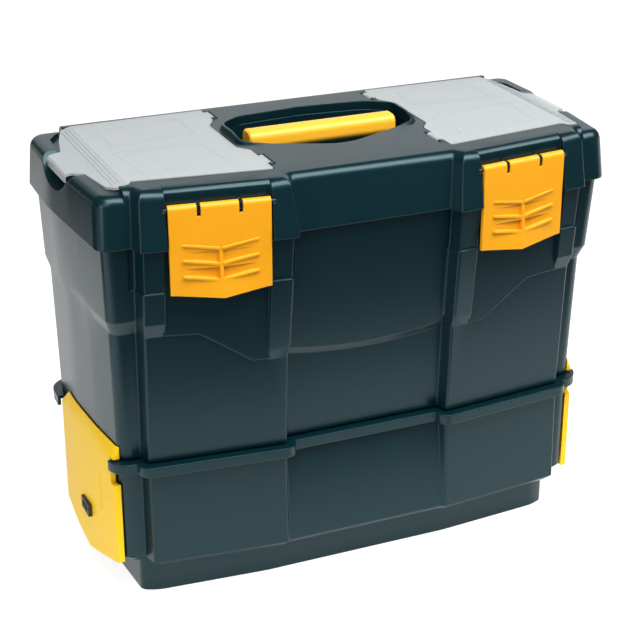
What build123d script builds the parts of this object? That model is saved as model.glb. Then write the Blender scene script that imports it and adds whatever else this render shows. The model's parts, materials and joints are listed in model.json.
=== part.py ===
from build123d import *
from math import atan2, cos, hypot, pi, sin, tan
import os

os.makedirs("parts", exist_ok=True)

# ---------------------------------------------------------------- driving dimensions (mm)
WALL = 2.8                 # moulded wall of tub, housing and lid
Z_PLINTH = 33.0            # top of the inset foot
Z_HOUSING = 40.0           # lower edge of the housing walls
Z_LIP = 126.0              # bottom edge of the down-turned rim lip
Z_RIM = 135.0              # top of the housing rim, the tub stands on it
Z_FOOT = 137.0             # lower edge of the tub walls, over a shadow gap
Z_FLOOR = 138.6            # inside floor of the tub
Z_LEDGE_OUT = 254.0        # step under the band: ends, corners, outer pillars
Z_LEDGE_IN = 220.0         # step under the band: inner pillars
LEDGE = 12.0               # height of the sloping step
Z_SKIRT = 332.0            # lower edge of the lid skirt
Z_TUB = 336.0              # top edge of the tub walls
END_DROP = 5.0             # the lid rim round the ends is this much lower
END_X = 207.0              # the lower ends begin here
Z_TOP = 379.0              # top plateau of the lid
PILLAR_IN, PILLAR_OUT = 94.0, 181.0   # inner faces of the two pillars of a latch bay
BAY = 7.4                  # plan angle of a latch bay to the front, degrees
BAY_X, BAY_Y = 136.5, -104.5          # middle of a latch, on its front face
LATCH_W = 83.0
LATCH_TOP, LATCH_LOW, LATCH_KEEL = 367.5, 292.6, 287.6
HINGE_Y, HINGE_Z = 116.5, 334.0       # lid hinge axis
COVER_X, COVER_Z = 77.0, 377.6        # hinge axis of a clear cover
BAY_FLOOR = 36.0           # top of the drawer bay floor
DRAWER_Y = 3.0             # middle of the drawers along Y
DRAWER_HALF = 56.0         # half width of a drawer tray
FRONT_HALF = 66.0          # half width of a drawer front
RIM_GAP = (-58.0, 76.0)    # the rim is open beside a drawer front
DRAWER_X0, DRAWER_X1 = 12.0, 218.0    # back and front of a tray
TRAY_Z0, TRAY_Z1 = 39.5, 122.0        # under and upper side of a tray
TRAVEL = 170.0             # drawer travel


# ---------------------------------------------------------------- plan outlines
def ring(cen, b1, b2, k, corner, end, back, rc=11, side=3.5):
    """Right half of a plan outline: centre bay, latch bay, corner, bulged end, back."""
    return [(b1[0] - side, cen, 1.5), (b1[0], b1[1], 2.5), (b2[0], b2[1], 2.5), (k, corner, 1.5),
            (end - 9, corner, rc), (end - 3.5, -20, 400), (end, 35, 300), (end - 2, back, 14)]


LOW0 = ring(-80.0, (76.5, -91.5), (196.0, -79.5), 199.5, -67.0, 226.0, 104.0)      # at 138
LOW1 = ring(-85.0, (76.5, -98.0), (196.5, -85.5), 200.0, -71.0, 228.5, 105.0)      # at 256
BAND0 = ring(-88.0, (76.0, -99.5), (197.5, -86.5), 201.0, -73.0, 230.5, 106.5)     # at 222
BAND1 = ring(-97.0, (75.0, -112.0), (199.0, -96.5), 202.0, -82.0, 234.5, 108.0)    # at 332
SKIRT = ring(-102.6, (73.4, -115.5), (200.8, -99.3), 204.4, -86.0, 240.0, 113.0, 14, 6)   # at 332
TOP = ring(-96.0, (76.8, -106.5), (198.5, -91.5), 202.0, -80.0, 237.0, 109.5, 14, 5)      # at 379
HOUSE0 = ring(-92.0, (77.5, -94.5), (196.0, -82.5), 199.5, -68.0, 225.0, 104.0, 13)       # at 40
HOUSE1 = ring(-81.0, (77.0, -90.5), (196.0, -80.0), 199.5, -67.0, 225.8, 104.0)           # at 126
PLINTH = [(88, -71, 60), (188, -63, 40), (201, -57, 8), (204, -15, 200), (208, 40, 200), (207, 88, 12)]


def level(low, high, z_low, z_high, z):
    """Outline between two levels, straight from one to the other."""
    t = (z - z_low) / (z_high - z_low)
    return [tuple(a + (b - a) * t for a, b in zip(p, q)) for p, q in zip(low, high)]


def low_at(z):
    return level(LOW0, LOW1, 138, 256, z)


def band_at(z):
    return level(BAND0, BAND1, 222, 332, z)


def lid_at(z):
    return level(SKIRT, TOP, 332, 379, z)


def house_at(z):
    return level(HOUSE0, HOUSE1, 40, 126, z)


SCREWS = [(x, y) for x in (-190, -60, 60, 190) for y in (-62, 90)]      # housing to tub


def closed(right):
    """Both halves of an outline, counter-clockwise."""
    return list(right) + [(-x, y, r) for x, y, r in reversed(right)]


def inset(points, d):
    """Move every side of a closed outline inwards by d (outwards when negative)."""
    out = []
    n = len(points)
    for i in range(n):
        (x0, y0, _), (x1, y1, r), (x2, y2, _) = points[i - 1], points[i], points[(i + 1) % n]
        ax, ay, bx, by = x1 - x0, y1 - y0, x2 - x1, y2 - y1
        la, lb = hypot(ax, ay), hypot(bx, by)
        nax, nay, nbx, nby = -ay / la, ax / la, -by / lb, bx / lb
        k = 1 + nax * nbx + nay * nby
        convex = ax * by - ay * bx > 0
        r = max(r - d if convex else r + d, 0.6)
        out.append((x1 + d * (nax + nbx) / k, y1 + d * (nay + nby) / k, r))
    return out


def face_of(points, z=0.0):
    """Flat face of a closed outline whose corners are rounded by their own radius."""
    n = len(points)
    arcs = []
    for i in range(n):
        (x0, y0, _), (x1, y1, r), (x2, y2, _) = points[i - 1], points[i], points[(i + 1) % n]
        a, b = Vector(x1 - x0, y1 - y0).normalized(), Vector(x2 - x1, y2 - y1).normalized()
        turn = abs(atan2(a.X * b.Y - a.Y * b.X, a.X * b.X + a.Y * b.Y))
        v = Vector(x1, y1, z)
        t = r * tan(turn / 2)
        if t < 0.02:
            arcs.append((v, None, v))
            continue
        m = (b - a).normalized()
        arcs.append((v - a * t, v + m * (r / cos(turn / 2) - r), v + b * t))
    edges = []
    for i in range(n):
        start, mid, end = arcs[i]
        if mid is not None:
            edges.append(Edge.make_three_point_arc(start, mid, end))
        edges.append(Edge.make_line(end, arcs[(i + 1) % n][0]))
    return Face(Wire(edges))


def plan(right, z, d=0.0):
    pts = closed(right)
    return face_of(inset(pts, d) if d else pts, z)


def between(right_low, right_high, z_low, z_high, d=0.0, d_high=None):
    """Straight-sided body between two levels of an outline."""
    d_high = d if d_high is None else d_high
    low, high = plan(right_low, z_low, d), plan(right_high, z_high, d_high)
    return Solid(Solid.make_loft([low.outer_wire(), high.outer_wire()], True).wrapped)


def prism(points, z_low, z_high, d=0.0):
    pts = inset(points, d) if d else points
    return extrude(face_of(pts, z_low), z_high - z_low, dir=(0, 0, 1))


def box(x0, x1, y0, y1, z0, z1):
    return Pos((x0 + x1) / 2, (y0 + y1) / 2, (z0 + z1) / 2) * Box(abs(x1 - x0), abs(y1 - y0), abs(z1 - z0))


def both(shape):
    """A shape and its mirror image in the middle plane."""
    return shape + mirror(shape, Plane.YZ)


def rod(axis, r, a, b, u, v):
    """Round bar along one axis from a to b, at (u, v) in the other two."""
    bar = Cylinder(r, b - a)
    if axis == "x":
        return Pos((a + b) / 2, u, v) * Rot(0, 90, 0) * bar
    if axis == "y":
        return Pos(u, (a + b) / 2, v) * Rot(90, 0, 0) * bar
    return Pos(u, v, (a + b) / 2) * bar


def slab(points, y0, y1):
    """Plate cut in the XZ plane, between two depths."""
    wire = Wire.make_polygon([Vector(x, y0, z) for x, z in points], close=True)
    return extrude(Face(wire), y1 - y0, dir=(0, 1, 0))


def bay_place(shape, sign):
    """Place a shape drawn in a latch bay frame (u along the bay, -v out, z up)."""
    placed = Pos(BAY_X, BAY_Y, 0) * Rot(0, 0, BAY) * shape
    return placed if sign > 0 else mirror(placed, Plane.YZ)


# ---------------------------------------------------------------- tub
def tub_band():
    """Wider band under the lid with its stepped lower edge, bay by bay."""
    far = 400
    ends = box(-far, far, -60, far, 0, 400) + both(box(PILLAR_OUT, far, -far, -59, 0, 400))
    inner = both(box(71, PILLAR_IN, -far, -60, 0, 400))
    top = Z_TUB
    outer = between(band_at(Z_LEDGE_OUT + LEDGE), band_at(top), Z_LEDGE_OUT + LEDGE, top)
    foot = Z_LEDGE_OUT - 2
    outer += between(low_at(foot), band_at(Z_LEDGE_OUT + LEDGE), foot, Z_LEDGE_OUT + LEDGE, 0.5, 0)
    deep = between(band_at(Z_LEDGE_IN + LEDGE), band_at(top), Z_LEDGE_IN + LEDGE, top)
    foot = Z_LEDGE_IN - 2
    deep += between(low_at(foot), band_at(Z_LEDGE_IN + LEDGE), foot, Z_LEDGE_IN + LEDGE, 0.5, 0)
    middle = between(band_at(206), band_at(top), 206, top, 1.0, 0) & box(-71.5, 71.5, -far, -60, 0, 400)
    middle -= under_arc()
    panel = between(low_at(210), low_at(top), 210, top, -1.6)
    panel &= both(slab([(93, 221), (107, 221), (152, 252), (182, 254), (182, top), (93, top)], -200, -60))
    return (outer & ends) + (deep & inner) + middle + panel


def under_arc():
    """Everything below the sagging lower edge of the centre bay."""
    faces = []
    for y, lift in ((-79.0, -7.4), (-103.0, 34.1)):
        ends, mid, low = 220.0 + lift, 211.0 + lift, 150.0
        a, b = Vector(-90, y, ends), Vector(90, y, ends)
        c, d = Vector(90, y, low), Vector(-90, y, low)
        faces.append(Wire([Edge.make_three_point_arc(a, Vector(0, y, mid), b), Edge.make_line(b, c),
                           Edge.make_line(c, d), Edge.make_line(d, a)]))
    return Solid(Solid.make_loft(faces, True).wrapped)


def tub():
    shape = between(low_at(Z_FOOT), low_at(Z_TUB), Z_FOOT, Z_TUB) + tub_band()
    # upper part of every pillar set back behind its lower part
    skin = between(band_at(294), band_at(Z_TUB), 294, Z_TUB, -1) - between(band_at(294), band_at(Z_TUB), 294, Z_TUB, 1.5)
    shape -= skin & both(box(71, 206, -200, -70, 0, 400))
    shape += prism(closed(low_at(Z_RIM)), Z_RIM, Z_FOOT, 3.0)
    shape -= between(low_at(Z_FLOOR), low_at(Z_TUB + 1), Z_FLOOR, Z_TUB + 1, WALL)
    # hollows behind the band: ends and back, then the pillars
    wide = between(band_at(270), band_at(Z_TUB + 1), 270, Z_TUB + 1, WALL + 0.4)
    shape -= wide & (box(-400, 400, -52, 400, 0, 400) + both(box(184, 400, -400, -51, 0, 400)))
    deep = between(band_at(238), band_at(Z_TUB + 1), 238, Z_TUB + 1, WALL + 1.5)
    shape -= deep & both(box(79.5, 91.0, -400, -60, 0, 400))
    # knuckles of the lid hinge
    for x0, x1 in ((-178, -158), (-142, -122), (122, 142), (158, 178)):
        shape += rod("x", 5.0, x0, x1, HINGE_Y, HINGE_Z)
        web = [(106.5, 318), (109, 318), (HINGE_Y + 3, HINGE_Z - 4), (HINGE_Y, HINGE_Z), (106.5, HINGE_Z)]
        wire = Wire.make_polygon([Vector(x0, y, z) for y, z in web], close=True)
        shape += extrude(Face(wire), x1 - x0, dir=(1, 0, 0))
    for x0, x1 in ((-178, -122), (122, 178)):
        shape -= rod("x", 2.5, x0 - 1, x1 + 1, HINGE_Y, HINGE_Z)
    for x, y in SCREWS:
        shape += rod("z", 5.0, Z_FOOT, Z_FLOOR + 9, x, y)
        shape -= rod("z", 1.6, Z_RIM - 1, Z_FLOOR + 6, x, y)
    return shape


def latch_catch():
    """Ridge on the tub that a closed latch snaps over."""
    ridge = slab([(-30, 299), (30, 299), (30, 306), (-30, 306)], 4.8, 14.0)
    ridge = bay_place(chamfer(ridge.edges().group_by(Axis.Y)[0], 1.2), 1)
    return ridge - between(low_at(290), low_at(320), 290, 320, -1.6)


# ---------------------------------------------------------------- drawer housing
def housing():
    """Lower box with hooked rim, open at both ends, standing on an inset foot."""
    foot = closed(PLINTH)
    walls = between(house_at(Z_HOUSING), house_at(Z_LIP), Z_HOUSING, Z_LIP)
    walls += between(house_at(Z_LIP), low_at(Z_RIM), Z_LIP, Z_RIM)
    walls += between(house_at(Z_HOUSING - 6), house_at(Z_HOUSING), Z_HOUSING - 6, Z_HOUSING, 6.5, 0)
    walls += prism(foot, 0, Z_HOUSING - 6)
    walls -= prism(foot, -1, Z_PLINTH - 1, 3.2)
    # stiffening cross under the bay floor, flush with the bottom of the foot
    walls += (box(-210, 210, -1.5, 1.5, 0, Z_PLINTH) + box(-1.5, 1.5, -90, 110, 0, Z_PLINTH)) & prism(foot, 0, 40, 1)
    # rim: outward flange with a lip turned down, stopping beside each drawer front
    low = closed(low_at(Z_RIM))
    rim = prism(low, Z_LIP, Z_RIM, -8.0) - prism(low, Z_LIP - 1, Z_RIM - 2.8, -5.2)
    rim -= both(box(204, 300, *RIM_GAP, 100, 150) - prism(low, 100, 150))
    walls += rim
    # drawer bays, open at the ends, roofed by the rim flange the tub stands on
    walls -= prism(closed(house_at(Z_RIM - 4)), BAY_FLOOR, Z_RIM - 4, WALL + 0.8)
    walls -= prism(low, Z_RIM - 5, Z_RIM + 1, 20)
    half = DRAWER_HALF + 4.5
    walls -= both(box(200, 300, DRAWER_Y - half, DRAWER_Y + half, BAY_FLOOR, Z_RIM - 4))
    for x, y in SCREWS:
        walls += rod("z", 5.5, Z_RIM - 14, Z_RIM, x, y) & prism(low, 100, Z_RIM, 1.0)
        walls -= rod("z", 1.9, Z_RIM - 20, Z_RIM + 1, x, y)
    return walls


def housing_screws():
    shapes = []
    for x, y in SCREWS:
        head = rod("z", 3.6, Z_RIM - 16.4, Z_RIM - 14, x, y)
        shapes.append(head + rod("z", 1.6, Z_RIM - 15, Z_FLOOR + 5.5, x, y))
    return Compound(shapes)


def bulkhead():
    """Wall between the two drawer bays."""
    return box(-1.5, 1.5, -76, 99.5, BAY_FLOOR, Z_RIM - 4.5)


def runner():
    """Pair of angle guides for the right-hand drawer."""
    shapes = []
    for side in (-1, 1):
        face = DRAWER_Y + side * (DRAWER_HALF + 0.4)
        flat = box(3, 216, face + side * 3, face - side * 9, BAY_FLOOR, TRAY_Z0 - 0.1)
        shapes.append(flat + box(3, 216, face, face + side * 3, BAY_FLOOR, BAY_FLOOR + 16))
    return Compound(shapes)


# ---------------------------------------------------------------- drawers (right-hand one)
def tray():
    y0, y1 = DRAWER_Y - DRAWER_HALF, DRAWER_Y + DRAWER_HALF
    shape = box(DRAWER_X0, DRAWER_X1, y0, y1, TRAY_Z0, TRAY_Z1)
    shape = fillet(shape.edges().filter_by(Axis.Z).group_by(Axis.X)[0], 4)
    shape -= box(DRAWER_X0 + 2, DRAWER_X1 - 2, y0 + 2, y1 - 2, TRAY_Z0 + 2, TRAY_Z1 + 1)
    for x in (82, 150):
        for y in (y0 + 2, y1 - 2):
            for dx in (-1.9, 1.9):
                s = 1 if y < DRAWER_Y else -1
                shape += box(x + dx - 0.8, x + dx + 0.8, y, y + s * 2.4, TRAY_Z0 + 2, TRAY_Z1 - 8)
    for y, z in FRONT_SCREWS:
        shape -= rod("x", 1.8, DRAWER_X1 - 4, DRAWER_X1 + 1, y, z)
    return shape


def dividers():
    y0, y1 = DRAWER_Y - DRAWER_HALF + 2, DRAWER_Y + DRAWER_HALF - 2
    shapes = []
    for x in (82, 150):
        plate = box(x - 0.9, x + 0.9, y0 + 0.2, y1 - 0.2, TRAY_Z0 + 2, TRAY_Z1 - 6)
        plate -= box(x - 2, x + 2, DRAWER_Y - 22, DRAWER_Y + 22, TRAY_Z1 - 18, TRAY_Z1)
        shapes.append(plate)
    return Compound(shapes)


FRONT_SCREWS = [(DRAWER_Y + dy, z) for dy in (-44, 44) for z in (54, 108)]
FRONT_TOP, FRONT_EDGE = 148.0, 136.0
BUTTON_Z = 60.0
BUTTON_HALF = 7.0          # half width of the push button


def drawer_front():
    """Bulged yellow front with a bevelled top, cut away round the ends of the rim."""
    low = closed(LOW0)
    shape = prism(low, 12, FRONT_EDGE, -5.6)
    shape += between(LOW0, LOW0, FRONT_EDGE, FRONT_TOP, -5.6, -1.5)
    shape -= prism(low, 0, 200, -0.9)
    y0, y1 = DRAWER_Y - FRONT_HALF, DRAWER_Y + FRONT_HALF
    shape &= box(205, 300, y0, y1, 0, 200)
    under = [(-80, 0), (-80, 40), (y0, 36), (DRAWER_Y, 18), (y1, 36), (100, 40), (100, 0)]
    wire = Wire.make_polygon([Vector(200, y, z) for y, z in under], close=True)
    shape -= extrude(Face(wire), 60, dir=(1, 0, 0))
    # notch for the rim end at the front, slanted corner at the back
    shape -= box(200, 300, y0 - 5, RIM_GAP[0] + 1.5, Z_LIP - 14, Z_RIM + 1.5)
    corner = [(y1 + 1, FRONT_EDGE - 3), (y1 + 1, 160), (y1 - 22, 160), (y1 - 13, FRONT_TOP)]
    wire = Wire.make_polygon([Vector(200, y, z) for y, z in corner], close=True)
    shape -= extrude(Face(wire), 60, dir=(1, 0, 0))
    # pad that carries the front on the tray
    pad = box(DRAWER_X1, 240, DRAWER_Y - 50, DRAWER_Y + 50, 44, 119) & prism(low, 12, 200, -2.0)
    shape += pad
    shape -= box(DRAWER_X1 + 2.2, 226.5, DRAWER_Y - 36, DRAWER_Y + 36, 74, 112)
    for y, z in FRONT_SCREWS:
        shape -= rod("x", 1.4, DRAWER_X1 - 1, DRAWER_X1 + 4.5, y, z)
    # pocket of the push button
    pocket = BUTTON_HALF + 3.2
    shape -= box(222, 260, DRAWER_Y - pocket, DRAWER_Y + pocket, BUTTON_Z - 4.8, BUTTON_Z + 4.8)
    return shape


def drawer_screws():
    shapes = []
    for y, z in FRONT_SCREWS:
        shapes.append(rod("x", 3.2, DRAWER_X1 - 4, DRAWER_X1 - 2, y, z) + rod("x", 1.4, DRAWER_X1 - 3, DRAWER_X1 + 4, y, z))
    return Compound(shapes)


def bezel():
    """Black frame lining the pocket of the push button."""
    y, z = DRAWER_Y, BUTTON_Z
    w = BUTTON_HALF + 3.2
    shape = box(222, 231.4, y - w, y + w, z - 4.8, z + 4.8)
    flange = box(229, 232.6, y - w - 0.8, y + w + 0.8, z - 5.6, z + 5.6) - prism(closed(LOW0), 0, 100, -5.6)
    shape += flange
    w = BUTTON_HALF + 0.4
    shape -= box(223.6, 240, y - w, y + w, z - 3.3, z + 3.3)
    return shape


def button():
    y, z = DRAWER_Y, BUTTON_Z
    shape = box(227.0, 232.6, y - BUTTON_HALF, y + BUTTON_HALF, z - 2.9, z + 2.9)
    for dz in (-1.7, 0, 1.7):
        shape += box(232.0, 233.4, y - BUTTON_HALF + 1, y + BUTTON_HALF - 1, z + dz - 0.4, z + dz + 0.4)
    return shape + rod("x", 1.4, 225.8, 227.5, y, z)


def button_spring():
    """Small compression spring behind the button."""
    path = Edge.make_helix(0.7, 2.8, 2.1)
    coil = sweep(Plane(origin=(2.1, 0, 0), z_dir=(0, 1, 0.1)) * Circle(0.25), path=path)
    return Pos(223.87, DRAWER_Y, BUTTON_Z) * Rot(0, 90, 0) * coil


# ---------------------------------------------------------------- lid
RECESS = [(0, -40, 45), (80, -4.8, 12), (81, 40, 14), (60, 55, 30), (0, 61, 90)]
RIM_TOP = 384.0            # raised rim round the ends and back of the hand recess
RECESS_FLOOR = 334.0
LID_EDGE = [(371, 0.0), (374.4, 0.8), (377.0, 2.6), (378.5, 5.0), (Z_TOP, 7.6)]     # rounding: height, inset
COVER = [(80, -77.5, 2), (196, -62, 2), (198.5, -68, 3), (208, -67.5, 5), (214.5, -57, 8), (219.5, -17, 60),
         (222, 50, 25), (216, 76, 40), (209, 97, 4), (80, 98, 2), (80, 66, 3), (88.5, 52, 5), (88.5, -14, 5), (80, -26, 3)]
SEAT = [(79.4, -78.1, 2), (195.6, -62.7, 2), (198.1, -68.6, 3), (208.3, -68.1, 5), (215.1, -57.2, 8), (220.1, -17, 60),
        (223, 50, 40), (222, 84, 8), (212, 98.6, 4), (79.4, 98.6, 2), (79.4, 66, 3), (87.9, 52, 5), (87.9, -14, 5),
        (79.4, -26, 3)]
WELL = [(92, -62, 6), (190, -49, 8), (206, -49, 8), (211, -10, 60), (213, 48, 30), (205, 82, 10), (198, 89, 8), (92, 89, 6)]
TAB_Y = 22.0
NOTCH_R, NOTCH_Y, NOTCH_Z = 43.0, 20.0, 396.0      # scoop under a cover tab


def mirrored(half):
    """Closed outline from its right half, which starts and ends on the middle line."""
    return half + [(-x, y, r) for x, y, r in reversed(half[1:-1])]


def recess_outline():
    return mirrored(RECESS)


def lid_outer():
    middle = rounded_block(0) & box(-END_X, END_X, -200, 200, 300, 400)
    ends = rounded_block(END_DROP) & both(box(END_X, 300, -200, 200, 300, 400))
    return middle + ends + recess_rim()


def rounded_block(drop):
    """Lid outline as a solid block with a rounded upper edge."""
    start = LID_EDGE[0][0] - drop
    shape = between(SKIRT, lid_at(start), Z_SKIRT, start)
    for (z0, d0), (z1, d1) in zip(LID_EDGE, LID_EDGE[1:]):
        shape += between(lid_at(z0 - drop), lid_at(z1 - drop), z0 - drop, z1 - drop, d0, d1)
    return shape


def recess_rim():
    """Rim of the hand recess, running out into the lid top towards the front."""
    low, high = face_of(inset(recess_outline(), -4.8), Z_TOP - 1), face_of(inset(recess_outline(), -2.2), RIM_TOP)
    rim = Solid(Solid.make_loft([low.outer_wire(), high.outer_wire()], True).wrapped)
    side = [(-60, 370), (-60, Z_TOP - 0.3), (-16, Z_TOP - 0.3), (14, RIM_TOP), (80, RIM_TOP), (80, 370)]
    wire = Wire.make_polygon([Vector(-100, y, z) for y, z in side], close=True)
    return rim & extrude(Face(wire), 200, dir=(1, 0, 0))


def bay_rounding():
    """Material taken off round the upper edges of a latch bay, in its bay frame."""
    wires = []
    for v, k in ((-14.0, 0.0), (24.0, 10.5)):
        points = [(42.9, 369.5), (43.7, 373.2), (46.0, 376.6), (50.0, 378.7), (56.0, 379.6)]
        points = [(u, z + k) for u, z in points] + [(56.0, 400), (42.9, 400)]
        wires.append(Wire.make_polygon([Vector(u, v, z) for u, z in points], close=True))
    side = Solid(Solid.make_loft(wires, True).wrapped)
    back = [(7.9, 371.8), (8.7, 375.6), (10.8, 378.0), (14.0, 379.4), (14.0, 390), (7.9, 390)]
    wire = Wire.make_polygon([Vector(-43, v, z) for v, z in back], close=True)
    return side + mirror(side, Plane.YZ) + extrude(Face(wire), 86, dir=(1, 0, 0))


def lid_shell():
    solid = lid_outer()
    hollow = between(SKIRT, lid_at(368.5), Z_SKIRT, 368.5, WALL) + box(-300, 300, -200, 200, 300, Z_SKIRT + 0.01)
    hollow += between(lid_at(368), lid_at(376.2), 368, 376.2, WALL, 4.5) & box(-71, 71, -200, 200, 0, 400)
    shape = solid - hollow
    # shelf that rests on the tub, front walls and sides of the two latch bays
    shelf = prism(closed(lid_at(337)), Z_TUB, Z_TUB + 2.5, 1.5) - prism(closed(lid_at(337)), 330, 340, 17)
    shape += shelf
    blocks = box(-46, 46, -30, 0.8, Z_SKIRT, 377) + box(-46, 46, -30, 11, Z_TUB, 377)
    shape += (bay_place(blocks, 1) + bay_place(blocks, -1)) & solid
    cut = box(-43, 43, -40, 8, 300, 390) + bay_rounding()
    shape -= bay_place(cut, 1) + bay_place(cut, -1)
    lug = box(-18.2, -15.8, 3.9 - 3.4, 9, LUG_Z - 3.4, LUG_Z + 3.4)
    lug = lug + mirror(lug, Plane.YZ)
    pin_hole = rod("x", 1.8, -45.5, 45.5, 3.9, LUG_Z)
    shape += bay_place(lug, 1) + bay_place(lug, -1)
    shape -= bay_place(pin_hole, 1) + bay_place(pin_hole, -1)
    # walls of the scoops under the cover tabs
    shape += both(rod("x", NOTCH_R + 2.6, 220, 245, NOTCH_Y, NOTCH_Z)) & solid & box(-300, 300, -60, 100, 340, 376)
    # openings for the recess pan and for the organizer trays
    shape -= prism(inset(recess_outline(), -2.55), 320, PAN_TOP + 0.05)
    shape -= prism(recess_outline(), 320, 400)
    shape -= both(prism(SEAT, 360, 400) & under_covers())
    shape -= both(box(73.8, 82, -66.4, -37.6, 375.0, 400) + box(73.8, 82, 69.6, 94.4, 375.0, 400))
    shape -= both(prism(inset(WELL, -2.25), 320, 400))
    # hinge lugs of the covers
    for y0, y1 in COVER_LUGS:
        lug = box(COVER_X - 2.3, COVER_X + 2.3, y0, y1, 374, COVER_Z) + rod("y", 2.3, y0, y1, COVER_X, COVER_Z)
        shape += both(lug)
    for y0, y1 in COVER_PINS:
        shape -= both(rod("y", 1.2, y0, y1, COVER_X, COVER_Z))
    # finger notch under each cover tab, and room for the root of the tab
    shape -= both(rod("x", NOTCH_R, 222.5, 260, NOTCH_Y, NOTCH_Z) + box(219, 223, -17.5, 54, 371.2, 400))
    # hinge knuckles at the back
    for x0, x1 in ((142.4, 157.6), (-157.6, -142.4)):
        shape += rod("x", 5.0, x0, x1, HINGE_Y, HINGE_Z)
        web = [(111.0, HINGE_Z), (HINGE_Y, HINGE_Z), (HINGE_Y + 4.6, HINGE_Z + 2), (112.2, HINGE_Z + 16), (111.0, HINGE_Z + 16)]
        wire = Wire.make_polygon([Vector(x0, y, z) for y, z in web], close=True)
        shape += extrude(Face(wire), x1 - x0, dir=(1, 0, 0))
        shape -= rod("x", 2.55, x0 - 1, x1 + 1, HINGE_Y, HINGE_Z)
    notches = box(121.5, 142.4, 109.0, 130, 320, HINGE_Z + 6) + box(157.6, 178.5, 109.0, 130, 320, HINGE_Z + 6)
    shape -= both(notches)
    return shape


LUG_Z = LATCH_TOP - 4.1
PAN_TOP = 376.15
COVER_LUGS = [(-66, -62.2), (-41.8, -38), (70, 73.8), (90.2, 94)]
COVER_PINS = [(-65.5, -38.5), (70.5, 93.5)]
HANDLE_X, HANDLE_Y = 60.0, 15.0      # screws of the grip
GRIP_END, GRIP_TOP = 68.5, 383.4


def under_covers():
    """Space of the cover seats, sloping down to the ends, with sockets for the cover hinges."""
    return slab([(70, 375.0), (200, 375.0), (215, 370.9), (232, 370.9), (232, 400), (70, 400)], -200, 200)


def recess_pan():
    """Bowl of the hand recess, hanging under the lid top."""
    pan = prism(inset(recess_outline(), -2.5), RECESS_FLOOR - 2.5, PAN_TOP)
    pan += prism(inset(recess_outline(), -7), PAN_TOP - 2, PAN_TOP) & box(-70.5, 70.5, -200, 200, 0, 400)
    pan -= prism(recess_outline(), RECESS_FLOOR, 400)
    for x in (-HANDLE_X, HANDLE_X):
        pan -= rod("z", 2.3, 320, 340, x, HANDLE_Y)
    return pan


def organizer():
    """Organizer tray set into the right-hand end of the lid."""
    tray_wall = prism(inset(WELL, -2.2), 342.0, 380) - prism(WELL, 344.2, 400)
    return tray_wall - (prism(SEAT, 360, 400, -5) & under_covers())


def lid_hinge_pins():
    return Compound([rod("x", 2.5, -178, -122, HINGE_Y, HINGE_Z), rod("x", 2.5, 122, 178, HINGE_Y, HINGE_Z)])


def handle():
    """Bridge-shaped grip with square ends, its legs standing on the floor of the hand recess."""
    bar = box(-GRIP_END, GRIP_END, HANDLE_Y - 10, HANDLE_Y + 10, GRIP_TOP - 17.5, GRIP_TOP)
    bar = fillet(bar.edges().filter_by(Axis.X), 6.5)
    bar = chamfer(bar.faces().sort_by(Axis.X)[0].edges() + bar.faces().sort_by(Axis.X)[-1].edges(), 1.4)
    leg = box(GRIP_END - 17, GRIP_END - 1.4, HANDLE_Y - 8, HANDLE_Y + 8, RECESS_FLOOR, GRIP_TOP - 9)
    leg = fillet(leg.edges().filter_by(Axis.Z), 3)
    shape = bar + both(leg)
    for x in (-HANDLE_X, HANDLE_X):
        shape -= rod("z", 1.95, RECESS_FLOOR - 1, RECESS_FLOOR + 12, x, HANDLE_Y)
    return shape


def handle_screws():
    z = RECESS_FLOOR - 2.5
    return Compound([rod("z", 4.2, z - 2.4, z, x, HANDLE_Y) + rod("z", 1.9, z - 1, z + 14, x, HANDLE_Y)
                     for x in (-HANDLE_X, HANDLE_X)])


def well_dividers():
    """Cross walls standing in the right-hand organizer well."""
    walls = box(80, 240, 17.2, 18.8, 344.2, 371)
    for x in (128, 172):
        walls += box(x - 0.8, x + 0.8, -80, 100, 344.2, 371)
    return walls & prism(WELL, 340, 380, 0.25)


def raised(points, z0, d0, z1, d1):
    """Flat-topped pad with sloping sides."""
    low, high = face_of(inset(points, d0) if d0 else points, z0), face_of(inset(points, d1), z1)
    return Solid(Solid.make_loft([low.outer_wire(), high.outer_wire()], True).wrapped)


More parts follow.
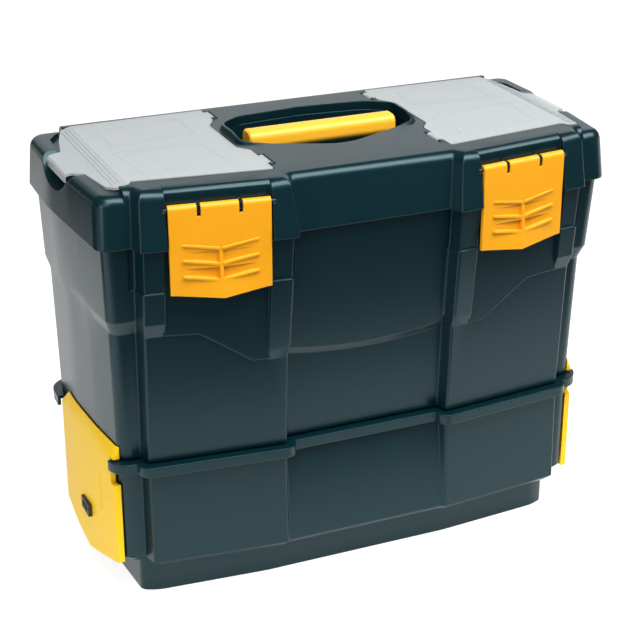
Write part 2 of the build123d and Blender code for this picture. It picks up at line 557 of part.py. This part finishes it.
def cover():
    """Clear organizer cover with a sloping outer edge and a finger tab."""
    plate = prism(COVER, COVER_Z, COVER_Z + 2.0) & box(70, 200.5, -200, 200, 0, 400)
    flap = slab([(200, 379.6), (228, 372.0), (228, 370.0), (200, 377.6)], -200, 200)
    for x in (203.5, 206.5, 209.5):
        z = 379.6 - (x - 200) * 0.2714
        flap += slab([(x - 0.7, z - 0.3), (x - 0.3, z + 0.45), (x + 0.3, z + 0.25), (x + 0.7, z - 0.6)], -60, 92)
    shape = plate + (flap & prism(COVER, 360, 390))
    inner = [(97, -60, 5), (183, -53, 5), (190, 10, 5), (109, 10, 5)], [(101, 34, 5), (187, 25, 5), (184, 80, 5), (101, 80, 5)]
    for pts in inner:
        shape += raised(pts, COVER_Z + 1.9, 0, COVER_Z + 2.9, 2.2)
        shape -= raised(pts, COVER_Z + 2.2, 8.4, COVER_Z + 3.0, 6.0)
    # tab, reaching over the notch and turned down
    tab = [(212, -19, 2), (219.5, -16, 2), (228, -5, 4), (233.5, -5, 3), (234.6, 49, 4), (222, 49, 3), (212, 49, 2)]
    wedge = slab([(212, 376.3), (222, 373.8), (228, 372.9), (232.5, 372.0), (234.6, 370.2), (234.6, 364.6),
                  (232.6, 364.6), (232.6, 369.4), (231, 370.3), (228, 370.9), (222, 371.8), (212, 374.3)], -200, 200)
    shape += wedge & prism(tab, 350, 400)
    for y0, y1 in ((-62, -42), (74, 90)):
        shape += rod("y", 2.3, y0, y1, COVER_X, COVER_Z) + box(COVER_X, 82, y0, y1, COVER_Z, COVER_Z + 2)
        shape -= rod("y", 1.25, y0 - 1, y1 + 1, COVER_X, COVER_Z)
    return shape


def cover_pins():
    return Compound([rod("y", 1.2, y0, y1, COVER_X, COVER_Z) for y0, y1 in COVER_PINS])


# ---------------------------------------------------------------- latches
CHEVRONS = (329.0, 316.0, 302.5)


def latch():
    """Over-the-front latch with a rolled top, a keel and chevron grips, in its bay frame."""
    w = LATCH_W / 2
    plate = slab([(-w, LUG_Z), (w, LUG_Z), (w, LATCH_LOW), (-1.5, LATCH_KEEL), (-w, LATCH_LOW)], 0, 3.0)
    low = face_of([(-w + 1, 0.5, 0), (-1.5, -4.0, 0), (w - 1, 0.5, 0), (w - 1, 1.5, 0), (-w + 1, 1.5, 0)], LATCH_KEEL - 1)
    high = face_of([(-w + 1, 0.5, 0), (0, 0.3, 0), (w - 1, 0.5, 0), (w - 1, 1.5, 0), (-w + 1, 1.5, 0)], 334)
    keel = Solid(Solid.make_loft([low.outer_wire(), high.outer_wire()], True).wrapped)
    keel &= slab([(-w, 340), (w, 340), (w, LATCH_LOW), (-1.5, LATCH_KEEL), (-w, LATCH_LOW)], -9, 3.0)
    shape = plate + keel + rod("x", 3.9, -w, w, 3.9, LUG_Z)
    # louvre pockets beside the keel, shallower outwards, under chevron ridges
    wedge = prism([(1.6, -9, 0), (31, -9, 0), (31, -0.2, 0), (1.6, 1.3, 0)], 280, 350)
    for z in CHEVRONS[1:]:
        pocket = slab([(1.6, z + 1.5), (30, z + 7.0), (30, z + 11.5), (1.6, z + 11.5)], -9, 3) & wedge
        shape -= pocket + mirror(pocket, Plane.YZ)
    for z in CHEVRONS:
        for s in (-1, 1):
            depth = -4.0 * max(0, (334 - z) / 47) * 0.5 - 0.9
            shape += slab([(s * 1.0, z - 0.9), (s * 31.0, z + 4.6), (s * 31.0, z + 6.4), (s * 1.0, z + 1.3)], depth, 2.0)
    # hooked rib inside, just in front of the ridge on the tub
    shape += slab([(-28, 293.4), (28, 293.4), (28, 297.4), (-28, 297.4)], 2.5, 4.3)
    shape -= rod("x", 1.85, -w - 1, w + 1, 3.9, LUG_Z)
    for u in (-17, 17):
        shape -= box(u - 1.6, u + 1.6, -2, 12, LUG_Z - 6.0, LATCH_TOP + 1)
    return shape


def latch_pin():
    return rod("x", 1.8, -45.5, 45.5, 3.9, LUG_Z)


# ---------------------------------------------------------------- all nodes
def pair(name, make):
    """The same piece for both ends, the left one mirrored."""
    shape = make()
    return {name + "_right": shape, name + "_left": mirror(shape, Plane.YZ)}


def build_all():
    nodes = {"tub": tub(), "drawer_housing": housing(), "bay_bulkhead": bulkhead(),
             "housing_screws": housing_screws(), "lid_hinge_pins": lid_hinge_pins(),
             "lid_shell": lid_shell(), "recess_pan": recess_pan(), "handle": handle(), "handle_screws": handle_screws()}
    for name, make in (("runner", runner), ("drawer_tray", tray), ("drawer_dividers", dividers),
                       ("drawer_front", drawer_front), ("drawer_screws", drawer_screws), ("button_bezel", bezel),
                       ("button", button), ("button_spring", button_spring), ("organizer", organizer),
                       ("well_dividers", well_dividers),
                       ("cover", cover), ("cover_pins", cover_pins),
                       ("latch_catch", latch_catch)):
        nodes.update(pair(name, make))
    for name, make in (("latch", latch), ("latch_pin", latch_pin)):
        shape = make()
        nodes[name + "_right"], nodes[name + "_left"] = bay_place(shape, 1), bay_place(shape, -1)
    return nodes


for node, part in build_all().items():
    part.label = node
    export_step(part, f"parts/{node}.step")
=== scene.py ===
"""Portable tool box, dressed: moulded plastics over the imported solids, a white studio and the camera."""
import json
from math import radians

import bpy
from mathutils import Matrix, Vector

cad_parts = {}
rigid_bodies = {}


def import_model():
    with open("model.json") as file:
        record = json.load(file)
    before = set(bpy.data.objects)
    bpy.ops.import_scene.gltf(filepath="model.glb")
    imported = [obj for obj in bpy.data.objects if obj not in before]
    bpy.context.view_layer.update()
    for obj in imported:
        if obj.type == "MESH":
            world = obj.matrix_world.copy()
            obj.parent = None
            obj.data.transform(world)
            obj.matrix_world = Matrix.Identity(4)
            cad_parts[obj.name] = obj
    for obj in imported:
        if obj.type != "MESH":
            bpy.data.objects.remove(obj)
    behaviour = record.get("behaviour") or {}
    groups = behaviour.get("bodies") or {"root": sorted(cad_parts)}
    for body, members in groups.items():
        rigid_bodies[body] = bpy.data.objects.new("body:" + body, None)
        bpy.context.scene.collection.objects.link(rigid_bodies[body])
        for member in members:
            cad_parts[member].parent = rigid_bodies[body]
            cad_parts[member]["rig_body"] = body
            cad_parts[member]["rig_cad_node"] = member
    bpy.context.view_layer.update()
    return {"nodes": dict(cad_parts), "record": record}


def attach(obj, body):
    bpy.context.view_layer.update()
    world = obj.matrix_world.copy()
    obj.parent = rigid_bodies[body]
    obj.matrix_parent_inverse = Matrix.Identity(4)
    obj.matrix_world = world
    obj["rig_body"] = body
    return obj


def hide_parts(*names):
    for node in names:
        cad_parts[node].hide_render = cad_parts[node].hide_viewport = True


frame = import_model()
NODES = frame["nodes"]
SIDES = ("right", "left")
BODIES = frame["record"]["behaviour"]["bodies"]

# Moulded finish
GRAIN_SIZE = 900.0              # noise scale of the fine moulded grain
WAVE_SIZE = 9.0                 # noise scale of the slow waves in a moulded wall
DUST_COLOUR = (0.35, 0.37, 0.38, 1)
GRAIN_DEPTH = 0.0004            # metres
MERGE = 0.00001                 # metres, joins the doubled corners of a solid's mesh
FLAT = radians(0.6)             # faces that meet flatter than this become one
EDGE = radians(28)              # edges sharper than this are rounded
CREASE = radians(16)            # edges of the tub sharper than this stay crisp

# Studio, in metres and watts
FLOOR_SIZE = 14.0
FLOOR_GREY = (0.40, 0.40, 0.40, 1)
FLOOR_GLOW = 0.85
CLOTH_GREY = (0.01, 0.012, 0.013, 1)
CLOTH_HEIGHT = 0.004
# name, middle, size
CLOTHS = (("front cloth", (0.8, -2.03), (7.0, 3.3)),
          ("left cloth", (-2.205, 1.36), (3.19, 2.48)))
SKY, SKY_STRENGTH = (0.95, 0.98, 1.0, 1), 0.07
# name, place, aim, size, power
SOFTBOXES = (("top softbox", (0.45, -0.70, 1.55), (0.45, -0.60, 0), (2.2, 0.9), 60),
             ("back softbox", (0.9, 3.2, 1.3), (0, 0, 0.38), (4.2, 1.7), 21),
             ("left softbox", (-1.9, -0.95, 0.7), (0, -0.05, 0.2), (0.28, 1.1), 8),
             ("key softbox", (-1.3, -1.7, 1.7), (0, 0, 0.2), (0.9, 0.9), 12))

# Camera of the photograph
LENS, SENSOR = 93.62, 36.0      # millimetres
EYE = (-0.5499, -1.2601, 0.8086)
FORWARD = (0.3622, 0.8398, -0.4043)
TO_THE_RIGHT = (0.9182, -0.3960, 0.0)


# ---------------------------------------------------------------- small helpers
def deselect():
    if bpy.context.object and bpy.context.object.mode != "OBJECT":
        bpy.ops.object.mode_set(mode="OBJECT")
    bpy.ops.object.select_all(action="DESELECT")


def only(obj):
    """Make one object the selected and active one."""
    deselect()
    obj.select_set(True)
    bpy.context.view_layer.objects.active = obj
    return obj


def body_of(node):
    """Name of the moving body that a node belongs to."""
    return next(body for body, members in BODIES.items() if node in members)


def apply_all(obj):
    only(obj)
    for mod in list(obj.modifiers):
        bpy.ops.object.modifier_apply(modifier=mod.name)


# ---------------------------------------------------------------- shader groups
def group(name, inputs, outputs):
    """Empty shader group with named sockets."""
    tree = bpy.data.node_groups.new(name, "ShaderNodeTree")
    for label, kind, value in inputs:
        socket = tree.interface.new_socket(name=label, in_out="INPUT", socket_type=kind)
        if value is not None:
            socket.default_value = value
    for label, kind in outputs:
        tree.interface.new_socket(name=label, in_out="OUTPUT", socket_type=kind)
    enter = tree.nodes.new("NodeGroupInput")
    leave = tree.nodes.new("NodeGroupOutput")
    return tree, enter, leave


def node(tree, kind, values=None, **settings):
    """Shader node with its socket values and its settings."""
    made = tree.nodes.new(kind)
    for key, value in settings.items():
        setattr(made, key, value)
    for key, value in (values or {}).items():
        made.inputs[key].default_value = value
    return made


def moulded_grain():
    """Fine moulded texture: a height, a roughness change and a slight colour change."""
    tree, enter, leave = group("moulded grain",
                               [("Vector", "NodeSocketVector", None),
                                ("Grain size", "NodeSocketFloat", GRAIN_SIZE),
                                ("Waviness", "NodeSocketFloat", WAVE_SIZE),
                                ("Roughness", "NodeSocketFloat", 0.4), ("Spread", "NodeSocketFloat", 0.08)],
                               [("Height", "NodeSocketFloat"), ("Roughness", "NodeSocketFloat"),
                                ("Tone", "NodeSocketFloat")])
    link = tree.links.new
    fine = node(tree, "ShaderNodeTexNoise", {"Detail": 2.0, "Roughness": 0.55})
    link(enter.outputs["Vector"], fine.inputs["Vector"])
    link(enter.outputs["Grain size"], fine.inputs["Scale"])
    wave = node(tree, "ShaderNodeTexNoise", {"Detail": 3.0, "Roughness": 0.6})
    link(enter.outputs["Vector"], wave.inputs["Vector"])
    link(enter.outputs["Waviness"], wave.inputs["Scale"])
    shift = node(tree, "ShaderNodeMath", {1: 0.5}, operation="SUBTRACT")
    link(wave.outputs["Fac"], shift.inputs[0])
    amount = node(tree, "ShaderNodeMath", operation="MULTIPLY_ADD")
    link(shift.outputs[0], amount.inputs[0])
    link(enter.outputs["Spread"], amount.inputs[1])
    link(enter.outputs["Roughness"], amount.inputs[2])
    link(fine.outputs["Fac"], leave.inputs["Height"])
    link(amount.outputs[0], leave.inputs["Roughness"])
    link(wave.outputs["Fac"], leave.inputs["Tone"])
    return tree


def handling_wear():
    """Scuffs from use: short scratches and a little dust on what faces up."""
    tree, enter, leave = group("handling wear",
                               [("Vector", "NodeSocketVector", None), ("Scratches", "NodeSocketFloat", 0.2),
                                ("Dust", "NodeSocketFloat", 0.2)],
                               [("Mask", "NodeSocketFloat")])
    link = tree.links.new
    stretch = node(tree, "ShaderNodeMapping", {"Scale": (14.0, 90.0, 60.0), "Rotation": (0.3, 0.2, 0.6)})
    link(enter.outputs["Vector"], stretch.inputs["Vector"])
    lines = node(tree, "ShaderNodeTexNoise", {"Scale": 6.0, "Detail": 2.0})
    link(stretch.outputs[0], lines.inputs["Vector"])
    cut = node(tree, "ShaderNodeMapRange", {"From Min": 0.68, "From Max": 0.78, "To Min": 0.0, "To Max": 1.0})
    link(lines.outputs["Fac"], cut.inputs["Value"])
    scratch = node(tree, "ShaderNodeMath", operation="MULTIPLY")
    link(cut.outputs[0], scratch.inputs[0])
    link(enter.outputs["Scratches"], scratch.inputs[1])
    surface = node(tree, "ShaderNodeNewGeometry")
    up = node(tree, "ShaderNodeSeparateXYZ")
    link(surface.outputs["Normal"], up.inputs[0])
    patch = node(tree, "ShaderNodeTexNoise", {"Scale": 30.0, "Detail": 4.0, "Roughness": 0.7})
    link(enter.outputs["Vector"], patch.inputs["Vector"])
    lying = node(tree, "ShaderNodeMath", operation="MULTIPLY", use_clamp=True)
    link(up.outputs["Z"], lying.inputs[0])
    link(patch.outputs["Fac"], lying.inputs[1])
    dust = node(tree, "ShaderNodeMath", operation="MULTIPLY_ADD", use_clamp=True)
    link(lying.outputs[0], dust.inputs[0])
    link(enter.outputs["Dust"], dust.inputs[1])
    link(scratch.outputs[0], dust.inputs[2])
    link(dust.outputs[0], leave.inputs["Mask"])
    return tree


GRAIN, WEAR = moulded_grain(), handling_wear()


def plastic(name, colour, deep, rough, spread=0.08, bump=0.03, scratches=0.0, dust=0.0, alpha=1.0,
            specular=0.5, tint=(1, 1, 1), edge=0.0):
    """Moulded plastic: two close tones, fine grain, scuffs, and edges rounded by a radius in metres."""
    mat = bpy.data.materials.new(name)
    mat.use_nodes = True
    tree = mat.node_tree
    link = tree.links.new
    shader = tree.nodes["Principled BSDF"]
    shader.inputs["Specular IOR Level"].default_value = specular
    shader.inputs["Specular Tint"].default_value = (*tint, 1)
    shader.inputs["Alpha"].default_value = alpha
    where = node(tree, "ShaderNodeTexCoord")
    skin = node(tree, "ShaderNodeGroup", {"Roughness": rough, "Spread": spread}, node_tree=GRAIN)
    used = node(tree, "ShaderNodeGroup", {"Scratches": scratches, "Dust": dust}, node_tree=WEAR)
    for pattern in (skin, used):
        link(where.outputs["Object"], pattern.inputs["Vector"])
    tones = node(tree, "ShaderNodeMix", {"A": (*deep, 1), "B": (*colour, 1)}, data_type="RGBA")
    link(skin.outputs["Tone"], tones.inputs["Factor"])
    worn = node(tree, "ShaderNodeMix", {"B": DUST_COLOUR}, data_type="RGBA")
    link(used.outputs["Mask"], worn.inputs["Factor"])
    link(tones.outputs["Result"], worn.inputs["A"])
    link(worn.outputs["Result"], shader.inputs["Base Color"])
    link(skin.outputs["Roughness"], shader.inputs["Roughness"])
    relief = node(tree, "ShaderNodeBump", {"Strength": bump, "Distance": GRAIN_DEPTH})
    link(skin.outputs["Height"], relief.inputs["Height"])
    if edge:
        rounded = node(tree, "ShaderNodeBevel", {"Radius": edge}, samples=6)
        link(rounded.outputs["Normal"], relief.inputs["Normal"])
    link(relief.outputs["Normal"], shader.inputs["Normal"])
    return mat


def turned_steel():
    """Plain turned steel for pins, screws and springs."""
    mat = bpy.data.materials.new("turned steel")
    mat.use_nodes = True
    tree = mat.node_tree
    link = tree.links.new
    shader = tree.nodes["Principled BSDF"]
    shader.inputs["Metallic"].default_value = 1.0
    where = node(tree, "ShaderNodeTexCoord")
    skin = node(tree, "ShaderNodeGroup", {"Roughness": 0.3}, node_tree=GRAIN)
    link(where.outputs["Object"], skin.inputs["Vector"])
    tones = node(tree, "ShaderNodeMix", {"A": (0.42, 0.42, 0.43, 1), "B": (0.62, 0.62, 0.63, 1)},
                 data_type="RGBA")
    link(skin.outputs["Tone"], tones.inputs["Factor"])
    link(tones.outputs["Result"], shader.inputs["Base Color"])
    link(skin.outputs["Roughness"], shader.inputs["Roughness"])
    return mat


# Colour, deeper tone and roughness of each plastic
dark = plastic("dark moulded body", (0.0011, 0.0140, 0.0190), (0.0008, 0.0115, 0.0160), 0.29,
               specular=0.42, tint=(0.66, 0.95, 1.0), spread=0.05, edge=0.0016)
amber = plastic("amber latch plastic", (0.80, 0.345, 0.006), (0.77, 0.325, 0.005), 0.40,
                scratches=0.02, specular=0.4, edge=0.0008)
grip = plastic("amber carry bar", (0.90, 0.46, 0.03), (0.84, 0.41, 0.022), 0.38,
               scratches=0.04, edge=0.0008)
yellow = plastic("yellow drawer plastic", (0.95, 0.60, 0.006), (0.93, 0.57, 0.005), 0.42,
                 scratches=0.02, specular=0.2, edge=0.0012)
clear = plastic("milky cover plastic", (0.47, 0.50, 0.51), (0.44, 0.47, 0.48), 0.26,
                scratches=0.05, bump=0.015, alpha=0.62)
black = plastic("black trim plastic", (0.012, 0.012, 0.013), (0.008, 0.008, 0.009), 0.45,
                scratches=0.15, dust=0.03)
grey = plastic("grey drawer plastic", (0.030, 0.034, 0.036), (0.022, 0.026, 0.028), 0.5,
               scratches=0.15, dust=0.05)
steel = turned_steel()


# ---------------------------------------------------------------- moulded pieces
def copy_of(cad):
    """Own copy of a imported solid, its doubled corners merged and its flat stretches joined."""
    piece = NODES[cad].copy()
    piece.data = NODES[cad].data.copy()
    piece.name = "moulded_" + cad
    piece.parent = None
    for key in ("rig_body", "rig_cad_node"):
        if key in piece:
            del piece[key]
    bpy.context.scene.collection.objects.link(piece)
    piece.matrix_world = Matrix.Identity(4)
    only(piece)
    bpy.ops.object.mode_set(mode="EDIT")
    bpy.ops.mesh.select_all(action="SELECT")
    bpy.ops.mesh.remove_doubles(threshold=MERGE)
    bpy.ops.mesh.dissolve_limited(angle_limit=FLAT)
    bpy.ops.object.mode_set(mode="OBJECT")
    bpy.ops.object.shade_smooth()
    return piece


def finish_moulding(cad, mat, width, segments=2, crisp=False):
    """A moulded piece with its edges rounded, standing for its plain solid."""
    piece = copy_of(cad)
    bevel = piece.modifiers.new("rounded edges", "BEVEL")
    bevel.width = width
    bevel.segments = segments
    bevel.limit_method = "ANGLE"
    bevel.angle_limit = EDGE
    bevel.use_clamp_overlap = True
    bevel.miter_outer = "MITER_ARC"
    faces = piece.modifiers.new("faces", "TRIANGULATE")
    faces.keep_custom_normals = True
    apply_all(piece)
    if crisp:
        bpy.ops.mesh.customdata_custom_splitnormals_clear()
        bpy.ops.object.shade_smooth_by_angle(angle=CREASE, keep_sharp_edges=False)
    even = piece.modifiers.new("even shading", "WEIGHTED_NORMAL")
    even.weight = 50
    even.keep_sharp = crisp
    apply_all(piece)
    coat(piece, mat)
    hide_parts(cad)
    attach(piece, body_of(cad))


def coat(obj, mat):
    """Give an object one material all over."""
    obj.data.materials.clear()
    obj.data.materials.append(mat)


def plain_finish(name):
    """Material of a piece that keeps its plain solid, or None where a moulded piece stands for it."""
    stem = name.replace("_right", "").replace("_left", "")
    if stem in ("latch_pin", "button", "button_bezel"):
        return black
    if "screws" in stem or "pins" in stem or "spring" in stem:
        return steel
    if stem in ("runner", "drawer_tray", "drawer_dividers"):
        return grey
    if stem in ("bay_bulkhead", "latch_catch", "well_dividers", "organizer", "recess_pan"):
        return dark
    return None


finish_moulding("tub", dark, 0.0016, crisp=True)
finish_moulding("drawer_housing", dark, 0.0009)
finish_moulding("lid_shell", dark, 0.0015, segments=3)
finish_moulding("handle", grip, 0.0006)
for side in SIDES:
    finish_moulding(f"latch_{side}", amber, 0.0006)
    finish_moulding(f"drawer_front_{side}", yellow, 0.0010)
    finish_moulding(f"cover_{side}", clear, 0.0004)
for name, obj in NODES.items():
    finish = plain_finish(name)
    if finish:
        coat(obj, finish)


# ---------------------------------------------------------------- studio
def plain_material(name, colour, rough):
    """One-colour material of the studio, and its shader."""
    mat = bpy.data.materials.new(name)
    mat.use_nodes = True
    shader = mat.node_tree.nodes["Principled BSDF"]
    shader.inputs["Base Color"].default_value = colour
    shader.inputs["Roughness"].default_value = rough
    return mat, shader


def floor():
    """White table that glows a little, so that the ground stays white."""
    bpy.ops.mesh.primitive_plane_add(size=FLOOR_SIZE, location=(0, 0, 0))
    table = bpy.context.object
    table.name = "floor"
    mat, shader = plain_material("pale floor", FLOOR_GREY, 0.8)
    shader.inputs["Emission Color"].default_value = (1, 1, 1, 1)
    shader.inputs["Emission Strength"].default_value = FLOOR_GLOW
    table.data.materials.append(mat)


def cloths():
    """Dark cloths in front and at the left of the table, seen only in reflections."""
    mat, _ = plain_material("dark cloth", CLOTH_GREY, 0.9)
    for name, (x, y), (wide, deep) in CLOTHS:
        bpy.ops.mesh.primitive_plane_add(size=1.0, location=(x, y, CLOTH_HEIGHT))
        cloth = bpy.context.object
        cloth.name = name
        cloth.scale = (wide, deep, 1)
        bpy.ops.object.transform_apply(location=False, rotation=False, scale=True)
        cloth.data.materials.append(mat)
        cloth.visible_camera = False
        cloth.visible_shadow = False


def sky():
    """Faint even light from all round."""
    world = bpy.data.worlds.new("studio")
    bpy.context.scene.world = world
    world.use_nodes = True
    back = world.node_tree.nodes["Background"]
    back.inputs["Color"].default_value = SKY
    back.inputs["Strength"].default_value = SKY_STRENGTH


def softboxes():
    """Rectangular lights above, behind, at the left and in front."""
    for name, place, aim, size, power in SOFTBOXES:
        light = bpy.data.lights.new(name, "AREA")
        light.shape = "RECTANGLE"
        light.size, light.size_y = size
        light.energy = power
        lamp = bpy.data.objects.new(name, light)
        bpy.context.scene.collection.objects.link(lamp)
        lamp.location = place
        lamp.rotation_euler = (Vector(aim) - Vector(place)).to_track_quat("-Z", "Y").to_euler()
        lamp.visible_camera = False


def camera():
    """Camera at the photograph's viewing angle."""
    data = bpy.data.cameras.new("camera")
    data.sensor_width = SENSOR
    data.lens = LENS
    cam = bpy.data.objects.new("camera", data)
    bpy.context.scene.collection.objects.link(cam)
    forward = Vector(FORWARD).normalized()
    right = Vector(TO_THE_RIGHT).normalized()
    up = right.cross(forward)
    turn = Matrix((right, up, -forward)).transposed().to_4x4()
    cam.matrix_world = Matrix.Translation(EYE) @ turn
    bpy.context.scene.camera = cam


deselect()
floor()
cloths()
sky()
softboxes()
camera()
bpy.context.scene.view_settings.view_transform = "Standard"
